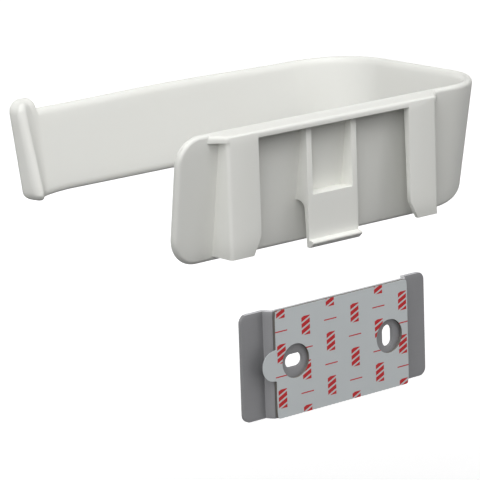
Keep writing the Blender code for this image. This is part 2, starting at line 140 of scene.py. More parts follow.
class Signal:
    """A shader socket that adds Math nodes where it stands in an expression."""

    def __init__(self, finish, socket):
        self.finish = finish
        self.socket = socket

    def join(self, operation, *values):
        """A Math node on some values."""
        return self.finish.node("ShaderNodeMath", {"operation": operation}, dict(enumerate(values)))

    __add__ = __radd__ = joining("ADD")
    __sub__ = joining("SUBTRACT")
    __mul__ = __rmul__ = joining("MULTIPLY")
    __truediv__ = joining("DIVIDE")
    __gt__ = joining("GREATER_THAN")
    __lt__ = joining("LESS_THAN")

    def __rsub__(self, other):
        return self.join("SUBTRACT", other, self)

    def __abs__(self):
        return self.join("ABSOLUTE", self)

    def __floordiv__(self, other):
        return self.join("FLOOR", self / other)

    def __mod__(self, other):
        return self.join("WRAP", self, other, 0.0)


class Finish:
    """A material's or the world's nodes, and the one way in which nodes are added to them."""

    def __init__(self, made):
        self.made = made
        self.made.use_nodes = True
        self.tree = self.made.node_tree
        self.shader = self.tree.nodes.get("Principled BSDF")

    def node(self, kind, settings=None, values=None, output=0):
        """A node of a kind, with its settings and then its sockets' values or links."""
        made = self.tree.nodes.new(kind)
        for key, value in (settings or {}).items():
            setattr(made, key, value)
        for key, value in (values or {}).items():
            self.feed(made.inputs[key], value)
        return Signal(self, made.outputs[output])

    def feed(self, socket, value):
        """Give a socket a link or a value."""
        if isinstance(value, Signal):
            self.tree.links.new(value.socket, socket)
        else:
            socket.default_value = value

    def set(self, name, value):
        """Give one of the Principled shader's sockets a link or a value."""
        self.feed(self.shader.inputs[name], value)

    def place(self):
        """Object coordinates."""
        return self.node("ShaderNodeTexCoord", output="Object")

    def along(self, axis):
        """One of the object coordinates."""
        return self.node("ShaderNodeSeparateXYZ", values={0: self.place()}, output=axis)

    def stretch(self, scale):
        """Object coordinates, scaled along each axis."""
        return self.node("ShaderNodeMapping", values={"Vector": self.place(), "Scale": scale})

    def noise(self, scale, detail, where=None):
        """A noise between 0 and 1."""
        values = {"Vector": where or self.place(), "Scale": scale, "Detail": detail}
        return self.node("ShaderNodeTexNoise", values=values)

    def blend(self, share, first, second):
        """A colour between two others."""
        return self.node("ShaderNodeMix", {"data_type": "RGBA"}, {0: share, 6: first, 7: second}, output=2)

    def bump(self, height, distance, under=None):
        """A normal from a height, on top of another normal where one is given."""
        values = {"Height": height, "Distance": distance}
        if under is not None:
            values["Normal"] = under
        return self.node("ShaderNodeBump", values=values)


def material(name):
    """A new material's finish."""
    return Finish(bpy.data.materials.new(name))


def solid(shade, factor=1.0):
    """A colour times a factor, with its alpha."""
    return (*np.multiply(shade, factor), 1.0)


# Grids and outlines

WELD = 0.000002  # vertices this near to each other become one
SLIVER = 0.000001  # edges shorter than this go


def add(name, data):
    """A new object in the scene."""
    made = bpy.data.objects.new(name, data)
    bpy.context.scene.collection.objects.link(made)
    return made


def lay(name, points, faces):
    """A mesh object from points and faces, with doubles merged and its normals pointing outwards."""
    mesh = bpy.data.meshes.new(name)
    mesh.from_pydata(points.reshape(-1, 3).tolist(), [], faces)
    work = bmesh.new()
    work.from_mesh(mesh)
    bmesh.ops.remove_doubles(work, verts=work.verts, dist=WELD)
    bmesh.ops.dissolve_degenerate(work, edges=work.edges, dist=SLIVER)
    bmesh.ops.recalc_face_normals(work, faces=work.faces)
    work.to_mesh(mesh)
    work.free()
    return add(name, mesh)


def quads(rows, columns, closed=True, first=0):
    """Faces of a grid of points. Where it is closed, each row runs back to its start."""
    index = first + np.arange(rows * columns).reshape(rows, columns)
    if closed:
        index = np.concatenate([index, index[:, :1]], axis=1)
    corners = [index[:-1, :-1], index[:-1, 1:], index[1:, 1:], index[1:, :-1]]
    return np.stack(corners, axis=-1).reshape(-1, 4).tolist()


def joined(grids):
    """Points and faces of several flat grids, each with whether its rows are closed."""
    faces, count = [], 0
    for grid, closed in grids:
        faces += quads(*grid.shape[:2], closed, count)
        count += grid.shape[0] * grid.shape[1]
    return np.concatenate([grid.reshape(-1, 2) for grid, closed in grids]), faces


def skin(name, rings):
    """A closed solid from rings of points, shut by a face at each end."""
    rows, columns = rings.shape[:2]
    faces = quads(rows, columns)
    faces += [list(range(columns)), list(range((rows - 1) * columns, rows * columns))]
    return lay(name, rings, faces)


def fillet(corners, radii, steps=5):
    """A closed outline with arcs for corners: a centre plus a radius that turns from side to side."""
    outline = []
    corners = np.array(corners, float)
    for k, radius in enumerate(radii):
        here = corners[k]
        if radius == 0:
            outline.append(here[None])
            continue
        back = corners[k - 1] - here
        on = corners[(k + 1) % len(corners)] - here
        back, on = back / np.linalg.norm(back), on / np.linalg.norm(on)
        half = math.acos(np.clip(back @ on, -1, 1)) / 2
        middle = back + on
        centre = here + middle / np.linalg.norm(middle) * radius / math.sin(half)
        first = here + back * radius / math.tan(half) - centre
        last = here + on * radius / math.tan(half) - centre
        sweep = math.atan2(first[0] * last[1] - first[1] * last[0], first @ last)
        turn = sweep * np.linspace(0, 1, steps + 1)
        cos, sin = np.cos(turn), np.sin(turn)
        arc = np.stack([first[0] * cos - first[1] * sin, first[0] * sin + first[1] * cos], 1)
        outline.append(centre + arc)
    return np.concatenate(outline)


def modify(item, kind, **settings):
    """Put what a modifier makes into the mesh."""
    step = item.modifiers.new(kind.lower(), kind)
    for key, value in settings.items():
        setattr(step, key, value)
    bpy.context.view_layer.update()
    mesh = bpy.data.meshes.new_from_object(item.evaluated_get(bpy.context.evaluated_depsgraph_get()))
    item.modifiers.clear()
    old = item.data
    item.data = mesh
    mesh.name = item.name
    bpy.data.meshes.remove(old)


def round_edges(item, width, segments=3, angle=35.0):
    """Round every edge that is sharper than an angle."""
    angle = math.radians(angle)
    modify(item, "BEVEL", width=width, segments=segments, limit_method="ANGLE", angle_limit=angle)


def smooth(item, angle=40.0):
    """Shade smooth, apart from edges that are sharper than an angle."""
    item.data.shade_smooth()
    item.data.set_sharp_from_angle(angle=math.radians(angle))


def ease(t):
    """A smooth rise from 0 to 1: t squared times 3 minus 2 t."""
    t = np.clip(t, 0.0, 1.0)
    return t * t * (3 - 2 * t)


def height(depth):
    """Z of a depth below the ledge's top face."""
    return LEDGE_TOP - depth


# The holder's numbers that a user wouldn't change

DRAFT = 0.1385  # how far the band moves inwards per metre of depth
STEP_LEAD = 0.0120  # from where the lower edge starts to climb to the back corner
STEP_LENGTH = 0.0900  # length over which it climbs to the arm's depth
PANEL_TOP_CORNER = 0.0090
PANEL_FOOT_CORNER = 0.0100
PANEL_STRAIGHT = 0.0160  # from the panel's end to where its rim and lower edge are straight
PANEL_EDGE = 0.0014
ARM_EDGE = 0.0028
EDGE_GROWTH = 0.0500  # length over which the edges' radius grows to the arm's
ARM_BOW = 0.0003  # how far the arm's rim rises in its middle and dips at both ends
ARM_BOW_LEAD = 0.0300  # length before the arm over which the bow fades in
LIP_RUN = 0.0108  # from where the arm starts to thicken to the end face
LIP_APPROACH = 0.0040  # length before that where the rows are denser
LIP_SEAM = 0.00015  # how far the two faces stop short of each other behind the ridge
LIP_PAIRED = 0.0026  # length before the seam over which both faces' rows are alike
LIP_RIDGE_ROUND = 0.0024  # radius of the ridge between the end face and the hollow
LIP_DEPTH = 0.0290
LIP_FLARE_LEAD = 0.0085  # from where the lower edge starts to drop to where the arm thickens
LIP_FLARE_LENGTH = 0.0150  # length over which it drops to the lip's depth
LIP_REACH_GROWTH = 0.076  # per metre of depth
LIP_SLANT = math.radians(17)  # how far the end face turns towards the wall
LIP_LEAN = 0.0420  # how far the end face moves back per metre of depth
LIP_OUTER_ROUND = 0.0016
LIP_CLIMB_START = 0.0022  # from where the arm starts to thicken to where its rim climbs
LIP_CLIMB = 0.0050  # length over which it climbs to the crest
LIP_CREST = 0.0015  # length over which that is level
LIP_FALL = 0.0010  # from the crest to the top of the end face
LIP_TIP_ROUND = 0.0042
LIP_TOP_EDGE = 0.0040
LIP_FOOT_EDGE = 0.0034
LIP_TOP_GROWTH = 0.0060  # length over which the upper edge's radius grows
LIP_FOOT_GROWTH = 0.0040  # and the lower edge's


def arc_points(centre, radius, first, last, count):
    """Points round a centre, at even angles."""
    turn = np.linspace(first, last, count)
    return centre + radius * np.stack([np.cos(turn), np.sin(turn)], 1)


def lip_path(size, blend_x):
    """The lip's outer and inner points from where the arm starts to thicken to the seam behind the ridge.

    The outer point goes straight, turns a tight corner, runs up the end face and over the ridge. The inner
    one goes up a hollow arc, which touches the arm's inner face and the ridge.
    """
    low = -size.front_y + size.wall
    corner = np.array([size.lip_end - LIP_OUTER_ROUND, -size.front_y + LIP_OUTER_ROUND])
    ridge_y = low + size.lip_reach - LIP_RIDGE_ROUND
    shift = LIP_OUTER_ROUND - LIP_RIDGE_ROUND - (ridge_y - corner[1]) * math.sin(LIP_SLANT)
    ridge = np.array([corner[0] + shift / math.cos(LIP_SLANT), ridge_y])
    run, rise = ridge[0] - blend_x, ridge[1] - low
    hollow = (run ** 2 + rise ** 2 - LIP_RIDGE_ROUND ** 2) / (2 * size.lip_reach)
    meet = math.atan2(hollow - rise, -run)
    bend = arc_points(corner, LIP_OUTER_ROUND, -QUARTER, LIP_SLANT, 40)
    over = arc_points(ridge, LIP_RIDGE_ROUND, LIP_SLANT, meet - LIP_SEAM / LIP_RIDGE_ROUND, 60)
    outer = np.concatenate([[(blend_x, -size.front_y)], bend, over])
    sweep = np.linspace(0, meet - QUARTER - LIP_SEAM / hollow, 60)
    inner = np.stack([blend_x + hollow * np.sin(sweep), low + hollow * (1 - np.cos(sweep))], 1)
    return outer, inner, run


def distances(points):
    """How far each point lies along its line."""
    return np.concatenate([[0], np.cumsum(np.linalg.norm(np.diff(points, axis=0), axis=1))])


def band_path(size):
    """Tables along the band's outer face: distance, outer and inner point, and how each moves with depth.

    Up to the lip the outer point goes straight, round two arcs and straight again, and the inner one lies a
    wall's thickness inside it. From there on both follow the lip.
    """
    first = size.panel_end + size.side_x - size.back_corner
    side = size.front_y - size.panel_setback - size.back_corner - size.front_corner
    bend_1, bend_2 = size.back_corner * QUARTER, size.front_corner * QUARTER
    blend_x = size.lip_end - LIP_RUN
    arm = blend_x + size.side_x - size.front_corner
    total = first + bend_1 + side + bend_2 + arm
    s = np.linspace(0, total, 1400)
    turn_1 = np.clip((s - first) / size.back_corner, 0, QUARTER)
    turn_2 = np.clip((s - first - bend_1 - side) / size.front_corner, 0, QUARTER)
    x = size.panel_end - np.clip(s, 0, first) - size.back_corner * np.sin(turn_1)
    x += size.front_corner * (1 - np.cos(turn_2)) + np.clip(s - total + arm, 0, None)
    y = -size.panel_setback - size.back_corner * (1 - np.cos(turn_1))
    y -= np.clip(s - first - bend_1, 0, side) + size.front_corner * np.sin(turn_2)
    out = np.stack([-np.sin(turn_1 + turn_2), np.cos(turn_1 + turn_2)], 1)
    outer = np.stack([x, y], 1)
    tables = [np.concatenate([outer, outer - out * size.wall, -out * DRAFT, -out * DRAFT], 1)]
    outer, inner, run = lip_path(size, blend_x)
    run_out, run_in = distances(outer), distances(inner)
    at = np.linspace(0, run_out[-1], 300)[1:]
    paired = [[0, run[-1] - LIP_PAIRED, run[-1]] for run in (run_out, run_in)]
    paired = np.interp(at, *paired)
    lip = []
    for points, where, along in ((outer, at, run_out), (inner, paired, run_in)):
        lip.append(np.stack([np.interp(where, along, points[:, i]) for i in (0, 1)], 1))
    low = -size.front_y + size.wall
    for points in lip[:2]:
        share = np.clip((points[:, 1] - low) / size.lip_reach, 0, 1)
        back = LIP_LEAN * ease((points[:, 0] - blend_x) / run)
        back += LIP_REACH_GROWTH * share * math.tan(LIP_SLANT)
        lip.append(np.stack([-back, DRAFT + LIP_REACH_GROWTH * share], 1))
    tables.append(np.concatenate(lip, 1))
    distance = np.concatenate([s, total + at])
    marks = {"corner": first, "arm": total - arm, "blend": total, "end": distance[-1]}
    marks["lip"] = total + run_out[20]  # halfway round the tight corner
    return distance, np.concatenate(tables), marks


def lower_edge(size, s, marks):
    """Z of the band's lower edge: it eases up from the panel's depth to the arm's, then down to the lip's."""
    rise = ease((s - marks["corner"] + STEP_LEAD) / STEP_LENGTH)
    depth = size.panel_depth + (size.arm_depth - size.panel_depth) * rise
    flare = ease((s - marks["blend"] + LIP_FLARE_LEAD) / LIP_FLARE_LENGTH)
    return height(depth + (LIP_DEPTH - size.arm_depth) * flare)


def arm_bow(s, marks):
    """How far the arm's rim bows: a wave of a cosine from the arm's start to its lip, faded in before it."""
    share = np.clip((s - marks["arm"]) / (marks["blend"] - marks["arm"]), 0, 1)
    return -ARM_BOW * np.cos(2 * math.pi * share) * ease((s - marks["arm"] + ARM_BOW_LEAD) / ARM_BOW_LEAD)


def band_outline(size, marks):
    """The band's unrolled outline in two branches from the panel's end to the lip's tip, above and below.

    Each row has a distance, a height and the edge's radius. Straight stretches and quarter circles follow one
    another: the panel's end and corners, the rim and the lower edge, the lip's crest, foot and tip.
    """
    rim = LEDGE_TOP + size.rim_rise
    crest = LEDGE_TOP + size.lip_rise
    foot = height(size.panel_depth)
    middle = (rim + foot) / 2
    arc = np.linspace(0, QUARTER, 13)[1:]
    away, rest = 1 - np.cos(arc), 1 - np.sin(arc)
    start = np.linspace(0, 1, 5)
    top = [(0 * start, middle + start * (rim - PANEL_TOP_CORNER - middle), PANEL_EDGE)]
    low = [(0 * start, middle + start * (foot + PANEL_FOOT_CORNER - middle), PANEL_EDGE)]
    top.append((PANEL_TOP_CORNER * away, rim - PANEL_TOP_CORNER * rest, PANEL_EDGE))
    low.append((PANEL_FOOT_CORNER * away, foot + PANEL_FOOT_CORNER * rest, PANEL_EDGE))
    early, climb = marks["corner"] - STEP_LEAD, marks["blend"] + LIP_CLIMB_START
    places = [PANEL_STRAIGHT, early, marks["arm"], marks["blend"] - LIP_APPROACH, climb]
    run = [np.linspace(a, b, count)[1:] for a, b, count in zip(places, places[1:], (14, 96, 26, 16))]
    run = np.concatenate([[PANEL_STRAIGHT], *run])
    edge = PANEL_EDGE + (ARM_EDGE - PANEL_EDGE) * ease((run - early) / EDGE_GROWTH)
    top.append((run, rim + arm_bow(run, marks), edge))
    low.append((run, lower_edge(size, run, marks), edge))
    end = marks["end"]
    up = np.linspace(0, QUARTER, 15)[1:]
    arm_rim = rim + arm_bow(climb, marks)
    run = climb + LIP_CLIMB * (1 - np.cos(up))
    level = arm_rim + (crest - arm_rim) * np.sin(up)
    past = np.linspace(climb + LIP_CLIMB, end - LIP_TIP_ROUND, 18)[1:]
    fall = LIP_FALL * ease((past - past[0] - LIP_CREST) / (past[-1] - past[0] - LIP_CREST))
    run, level = np.concatenate([run, past]), np.concatenate([level, crest - fall])
    edge = ARM_EDGE + (LIP_TOP_EDGE - ARM_EDGE) * ease((run - marks["blend"]) / LIP_TOP_GROWTH)
    top.append((run, level, edge))
    foot = lower_edge(size, run, marks)
    edge = ARM_EDGE + (LIP_FOOT_EDGE - ARM_EDGE) * ease((run - marks["lip"]) / LIP_FOOT_GROWTH)
    low.append((run, foot, edge))
    shoulder, heel = level[-1], foot[-1]
    turned = end - LIP_TIP_ROUND * rest
    share = arc / QUARTER
    top.append((turned, shoulder - LIP_TIP_ROUND * away, LIP_TOP_EDGE * (1 - share)))
    low.append((turned, heel + LIP_TIP_ROUND * away, LIP_FOOT_EDGE * (1 - share)))
    down = ease(np.linspace(0, 0.5, 9)[1:]) * 2
    half = (shoulder + heel) / 2
    top.append((end + 0 * down, shoulder - LIP_TIP_ROUND + down * (half - shoulder + LIP_TIP_ROUND), 0))
    low.append((end + 0 * down, heel + LIP_TIP_ROUND + down * (half - heel - LIP_TIP_ROUND), 0))
    return [np.concatenate([np.column_stack(np.broadcast_arrays(*part)) for part in way])
            for way in (top, low)]


def band_points(size, face_steps=9, edge_steps=12):
    """The band as a grid: a column for each step along its outline, and a loop round the wall in each column.

    A point has a distance s along the band, a height z and a share w of the way through the wall. Its place
    is the outer point at s and the inner one, each moved by its slope times its depth, mixed by w. Round an
    edge, w is a half plus half a sine, and the point is set back from the outline by the edge's radius times
    one minus the cosine.
    """
    distance, table, marks = band_path(size)
    top, low = band_outline(size, marks)
    top_edge, low_edge = top[:, 2], low[:, 2]
    top, low = top[:, :2], low[:, :2]
    along, below = np.gradient(top, axis=0), np.gradient(low, axis=0)
    top_out = np.stack([-along[:, 1], along[:, 0]], 1)
    low_out = np.stack([below[:, 1], -below[:, 0]], 1)
    top_out /= np.linalg.norm(top_out, axis=1)[:, None]
    low_out /= np.linalg.norm(low_out, axis=1)[:, None]
    turn = np.linspace(-QUARTER, QUARTER, edge_steps + 1)
    back = (1 - np.cos(turn))[None, :, None]
    through = 0.5 + 0.5 * np.sin(turn)
    over = top[:, None] - top_out[:, None] * back * top_edge[:, None, None]
    under = (low[:, None] - low_out[:, None] * back * low_edge[:, None, None])[:, ::-1]
    share = np.linspace(0, 1, face_steps + 1)[1:-1][None, :, None]
    outer_face = under[:, -1:] * (1 - share) + over[:, :1] * share
    inner_face = over[:, -1:] * (1 - share) + under[:, :1] * share
    flat = np.concatenate([outer_face, over, inner_face, under], 1)
    w = np.concatenate([np.zeros(face_steps - 1), through, np.ones(face_steps - 1), through[::-1]])
    s, z = flat[..., 0], flat[..., 1]
    at = [np.interp(s, distance, table[:, i]) for i in range(8)]
    depth = LEDGE_TOP - z
    x = (at[0] + at[4] * depth) * (1 - w) + (at[2] + at[6] * depth) * w
    y = (at[1] + at[5] * depth) * (1 - w) + (at[3] + at[7] * depth) * w
    return np.stack([x, y, z], -1)


def panel_y(size, z, into=0.0):
    """Y of the panel's wall-side face at height z, or of a plane inside the panel."""
    return -(size.panel_setback + DRAFT * (LEDGE_TOP - z) + into)


def dress(item, finish, slot, body=None):
    """Give a piece its material, and let it ride on a body where one is given. The slot argument is not used.
    """
    item.data.materials.clear()
    item.data.materials.append(bpy.data.materials[finish])
    if body:
        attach(item, body)


PLASTIC = ("moulded_plastic", "white_abs")
SUNK = 0.0010  # how far the pieces on the panel reach into it
RAIL_TOP = 0.0006  # inside the ledge
RAIL_ROWS = 0.0040  # depth of the next section
RAIL_WALL = 0.0025
RAIL_LIP_TOP = 0.0025
RAIL_LIP_FOOT = 0.0015
RAIL_LIP_EDGE = 0.0324  # from the middle to where a rail's lip ends
RAIL_LIP_ROUND = 0.0006
RAIL_LEAD_IN = 0.0032  # how much narrower the lip is at its foot
RAIL_LEAD_DEPTH = 0.0340  # from where it narrows
RAIL_CORNER = 0.0013
LEDGE_THICKNESS = 0.0022
LEDGE_OVERHANG = 0.0042
LEDGE_EDGE = 0.0011
LEDGE_CLIMB = (
    # how far the front lies before the panel's face, how far the ends draw in, how far below the rim
    (0.0006, 0.0011, 0.0005),
    (-0.0006, 0.0014, 0.00024),
)
MOUNT_ROUND = 0.0005


def ledge_rings(size):
    """Plan sections of the ledge from its underside up. Behind round front corners its ends flare out.

    The sections keep their size up to an edge that is rounded in front and at the ends. The last two draw
    back to the panel and climb a little, so that the ledge's top runs into the round of the rim.
    """
    setback = size.panel_setback
    back = -setback - SUNK
    turn = np.linspace(0, QUARTER, 7)
    rounded = np.concatenate([[0.0], LEDGE_EDGE * (1 - np.cos(turn))])
    ahead, drawn, under = np.array(LEDGE_CLIMB).T
    fronts = np.concatenate([-rounded, ahead - setback])
    insets = np.concatenate([rounded, drawn])
    edge = LEDGE_TOP - LEDGE_EDGE * (1 - np.sin(turn))
    levels = np.concatenate([[height(LEDGE_THICKNESS)], edge, LEDGE_TOP + size.rim_rise - under])
    rings = []
    for front, inset, level in zip(fronts, insets, levels):
        bend = min(-RAIL_CORNER, (front + back) / 2)
        flare = np.clip((-np.array([back, bend, front]) - RAIL_CORNER) / (setback - RAIL_CORNER), 0, None)
        end = size.rail_span - inset + LEDGE_OVERHANG * flare
        half = list(zip(end, (back, bend, front)))
        corners = [(-end[0], back), *half, *((-x, y) for x, y in half[:0:-1])]
        corner = (front - bend) * 0.98  # leaves a short straight stretch behind the arc
        ring = fillet(corners, [0, 0, 0, corner, corner, 0])
        rings.append(np.column_stack([ring, np.full(len(ring), level)]))
    return np.array(rings)


def rail_rings(size, side):
    """Plan sections of a rail from the ledge down: an L of wall and lip. The lip thins and then narrows."""
    rings = []
    for depth in (RAIL_TOP, *np.linspace(RAIL_ROWS, RAIL_LEAD_DEPTH, 9), size.rail_depth):
        z = height(depth)
        narrowed = np.clip((depth - RAIL_LEAD_DEPTH) / (size.rail_depth - RAIL_LEAD_DEPTH), 0, 1)
        edge = RAIL_LIP_EDGE + RAIL_LEAD_IN * narrowed
        lip = RAIL_LIP_TOP + (RAIL_LIP_FOOT - RAIL_LIP_TOP) * depth / size.rail_depth
        outside, inside = size.rail_span, size.rail_span - RAIL_WALL
        back = panel_y(size, z, SUNK)
        section = [(edge, 0.0), (outside, 0.0), (outside, back), (inside, back), (inside, -lip), (edge, -lip)]
        ring = fillet(section, [0, RAIL_CORNER, 0, 0, RAIL_LIP_ROUND, 0])
        rings.append(np.column_stack([ring[:, 0] * side, ring[:, 1], np.full(len(ring), z)]))
    return np.array(rings)


def make_mount(size):
    """The ledge and both rails, joined into one mesh and rounded along their edges."""
    mount = skin("holder_ledge_and_rails", ledge_rings(size))
    for side in (1, -1):
        rail = skin("rail_guide", rail_rings(size, side))
        modify(mount, "BOOLEAN", object=rail, operation="UNION", solver="EXACT")
        bpy.data.objects.remove(rail, do_unlink=True)
    round_edges(mount, MOUNT_ROUND)
    smooth(mount, 50.0)
    dress(mount, *PLASTIC, "holder")


WEB_TOP = 0.0250
WEB_THICKNESS = 0.0021
RIB_SETBACK = 0.0020
RIB_THICKNESS = 0.0021
RIB_TOP = 0.0012  # inside the ledge
TONGUE_ROOT = 0.0018
TONGUE_TIP = 0.0012
TONGUE_BLEND = 0.0030  # radius of the hollow between the web and the tongue's back
TONGUE_ROWS = (0.033, 0.036)
TONGUE_ROUND = 0.00032
ROOT_LAG = (0.0006, 0.0004)  # how far the first rows' fronts lie above their backs
CATCH_DEPTH = 0.0397
HOOK_REACH = 0.0019
HOOK_NOSE = 0.0006  # radius of the hook's nose
HOOK_TURN = (-78, 48)  # degrees of the nose's arc
HOOK_TOP = 0.0003  # how far the nose starts below the catch
HOOK_ROWS = np.array([-0.0003, *np.linspace(0.0001, 0.0012, 7), 0.0023])  # of its back, below the catch
HOOK_STEP = 0.0003  # how far the slope's end still stands out
HOOK_FOOT = 0.0026  # from the catch down to the end of the hook's slope
FLEX_LENGTH = 0.0055  # length over which the tongue bends in use; it is built straight and not bent


def tongue_sides(size):
    """Front and back points of the tongue from the web's top to its foot, in Y and depth.

    The back is the web's slope, a quarter circle and a straight taper. The front is flat down to the catch.
    Then comes the hook: a level top, an arc round its nose and a slope back to the face.
    """
    face = -RIB_SETBACK
    web_foot = WEB_TOP + WEB_THICKNESS
    turn = np.linspace(0, QUARTER, 9)
    root_back = face - TONGUE_ROOT
    arc = [root_back - TONGUE_BLEND * (1 - np.sin(turn)), web_foot + TONGUE_BLEND * (1 - np.cos(turn))]
    arc = np.stack(arc, 1)
    sunk = panel_y(size, height(web_foot), SUNK)
    low = np.array([*TONGUE_ROWS, *(CATCH_DEPTH + HOOK_ROWS), size.tongue_depth])
    share = (low - arc[-1, 1]) / (size.tongue_depth - arc[-1, 1])
    taper = np.stack([root_back + (TONGUE_ROOT - TONGUE_TIP) * share, low], 1)
    back = np.concatenate([[(panel_y(size, height(WEB_TOP), SUNK), WEB_TOP), (sunk, web_foot)], arc, taper])
    front_y = np.full(len(back), face)
    front_d = back[:, 1].copy()
    front_d[1:10] = np.linspace(web_foot, arc[-1, 1], 9) - np.linspace(*ROOT_LAG, 9)
    over = np.radians(np.linspace(*HOOK_TURN, 7))
    front_y[-9:-2] = face + HOOK_REACH + HOOK_NOSE * (np.cos(over) - 1)
    front_y[-2] += HOOK_STEP
    front_d[-10] = CATCH_DEPTH
    front_d[-9:-2] = CATCH_DEPTH + HOOK_TOP + HOOK_NOSE * (1 + np.sin(over))
    front_d[-2] = CATCH_DEPTH + HOOK_FOOT
    return np.stack([front_y, front_d], 1), back


def make_tongue(size):
    """Ribs, web and snap tongue in one mesh: sections from rib to rib, then two ribs up to the ledge."""
    front, back = tongue_sides(size)
    rows = len(front)
    inner = size.rib_span - RIB_THICKNESS
    xs = np.array([-size.rib_span, -inner, inner, size.rib_span])
    x = np.tile([*xs, *xs[::-1]], (rows, 1))
    y, depth = np.repeat(np.stack([front, back], 1), 4, 1).transpose(2, 0, 1)
    points = [np.stack([x, y, height(depth)], -1).reshape(-1, 3)]
    faces = quads(rows, 8)
    faces.append(list(range((rows - 1) * 8, rows * 8)))
    faces.append([1, 2, 5, 6])
    top = height(RIB_TOP)
    for outer, inward in ((0, 1), (3, 2)):
        base = sum(len(block) for block in points)
        span = [xs[outer], xs[inward], xs[inward], xs[outer]]
        across = np.repeat([-RIB_SETBACK, panel_y(size, top, SUNK)], 2)
        points.append(np.column_stack([span, across, np.full(4, top)]))
        low = [outer, inward, 7 - inward, 7 - outer]
        for k in range(4):
            faces.append([low[k], low[(k + 1) % 4], base + (k + 1) % 4, base + k])
        faces.append([base, base + 1, base + 2, base + 3])
    tongue = lay("snap_tongue_and_ribs", np.concatenate(points), faces)
    round_edges(tongue, TONGUE_ROUND, angle=28.0)
    smooth(tongue, 50.0)
    dress(tongue, *PLASTIC)
    root = height(WEB_TOP + WEB_THICKNESS)
    root - FLEX_LENGTH
    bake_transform(tongue)
    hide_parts("snap_tongue")


# Wall plate, tape and liner


TINY = 1e-9  # keeps a sine or cosine away from zero
HOLE_X = 0.0205  # from the plate's middle to each slot and each hole in the tape
SLOT = (0.0074, 0.0045)  # length and width
FLAT_HALF = 0.0286  # from the middle to the last row of the plate's flat part
BEND_START = 0.0288
BEND_LENGTH = 0.0018
BEND_STRAIGHT = 0.45  # share of the step that is a straight slope
FLANGE_ROW = 0.0340
SHEET_FACE = 0.0001  # from the back plane to the plate
SHEET_SLACK = 0.00002  # how far rounded edges can stand out at the bends
SHEET_ROUND = 0.00015
LAYER_GAP = 0.00005  # keeps the faces of two layers apart
LINER = 0.00015
TAPE_CORNER = 0.0012
TAB_NECK = 0.0007  # how far the tab goes straight out before its round end


def plate_middle():
    """Z of the plate's middle at rest."""
    low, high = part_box("wall_plate")
    return (low.z + high.z) / 2


def annulus(hole, reach, centre, steps, turns):
    """A grid from a hole's edge to an outer edge, each given by its distance from a centre at each angle."""
    share = (np.linspace(0, 1, steps + 1) ** 0.9)[:, None]
    far = hole * (1 - share) + reach * share
    return np.stack([centre + far * np.cos(turns), far * np.sin(turns)], -1)


def box_reach(turns, left, right, half, corner=0.0, side=1):
    """How far a box's edge lies from a hole's middle at each angle. Its far corners may be round."""
    cos, sin = np.cos(turns), np.abs(np.sin(turns))
    across = np.where(cos > 0, right, left) / np.maximum(np.abs(cos), TINY)
    reach = np.minimum(across, half / np.maximum(sin, TINY))
    far = right if side > 0 else left
    middle_x, middle_y = far - corner, half - corner
    ahead = side * cos
    along, off = middle_x * ahead + middle_y * sin, middle_x * sin - middle_y * ahead
    round_off = along + np.sqrt(np.maximum(corner ** 2 - off ** 2, 0))
    at_corner = (reach * ahead > middle_x) & (reach * sin > middle_y)
    return np.where(at_corner, round_off, reach)


def slot_reach(turns, length, width, upright):
    """How far a slot's edge lies from its middle at each angle: flat sides and round ends."""
    if upright:
        turns = turns + QUARTER
    cos, sin = np.abs(np.cos(turns)), np.abs(np.sin(turns))
    radius, half = width / 2, (length - width) / 2
    flat = radius / np.maximum(sin, TINY)
    round_end = half * cos + np.sqrt(np.maximum(radius ** 2 - (half * sin) ** 2, 0))
    return np.where(flat * cos <= half, flat, round_end)


def round_hole(side, near, half, count=96):
    """A box's reach to the left and right of a hole, and angles that take in its corners."""
    left, right = (HOLE_X, near) if side > 0 else (near, HOLE_X)
    corners = [math.atan2(half, right), math.atan2(half, -left)]
    corners += [-corners[1] + 2 * math.pi, -corners[0] + 2 * math.pi, corners[0] + 2 * math.pi]
    turns = [np.linspace(a, b, count // 4 + 1)[:-1] for a, b in zip(corners, corners[1:])]
    return left, right, np.concatenate(turns)


def plate_depth(x, size):
    """Y of the sheet's middle at a distance from the plate's middle: flat, two opposite bends and flat again.

    Between the bends the share of the step mixes a straight slope and a smooth rise.
    """
    slope = np.clip((np.abs(x) - BEND_START) / BEND_LENGTH, 0, 1)
    share = BEND_STRAIGHT * slope + (1 - BEND_STRAIGHT) * ease(slope)
    return -(SHEET_FACE + size.sheet / 2) - size.joggle * share


def make_plate(size):
    """The steel plate: its flat shape with two slots, dropped at its bends and given its thickness."""
    half = size.height / 2 - SHEET_SLACK
    near, corner = FLAT_HALF - HOLE_X, size.width / 2 - size.corner
    grids = []
    for side, upright in ((1, False), (-1, True)):
        left, right, turns = round_hole(side, near, half)
        slot = slot_reach(turns, *SLOT, upright)
        grids.append((annulus(slot, box_reach(turns, left, right, half), side * HOLE_X, 6, turns), True))
        turn = np.linspace(0, QUARTER, 9)[1:]
        xs = [FLAT_HALF, *np.linspace(BEND_START, BEND_START + BEND_LENGTH, 13), FLANGE_ROW, corner]
        tall = np.concatenate([np.full(len(xs), half), half - size.corner * (1 - np.cos(turn))])
        xs = np.concatenate([xs, corner + size.corner * np.sin(turn)])
        levels = np.linspace(-1, 1, 25)
        grids.append((np.stack([np.repeat(xs[:, None] * side, 25, 1), tall[:, None] * levels], -1), False))
    flat, faces = joined(grids)
    placed = np.column_stack([flat[:, 0], plate_depth(flat[:, 0], size), flat[:, 1] + plate_middle()])
    plate = lay("wall_plate_steel", placed, faces)
    modify(plate, "SOLIDIFY", thickness=size.sheet, offset=0.0, use_even_offset=True)
    round_edges(plate, SHEET_ROUND, 2, 50.0)
    smooth(plate)
    dress(plate, "satin_steel_sheet", "satin_steel", "plate")
    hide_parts("wall_plate")


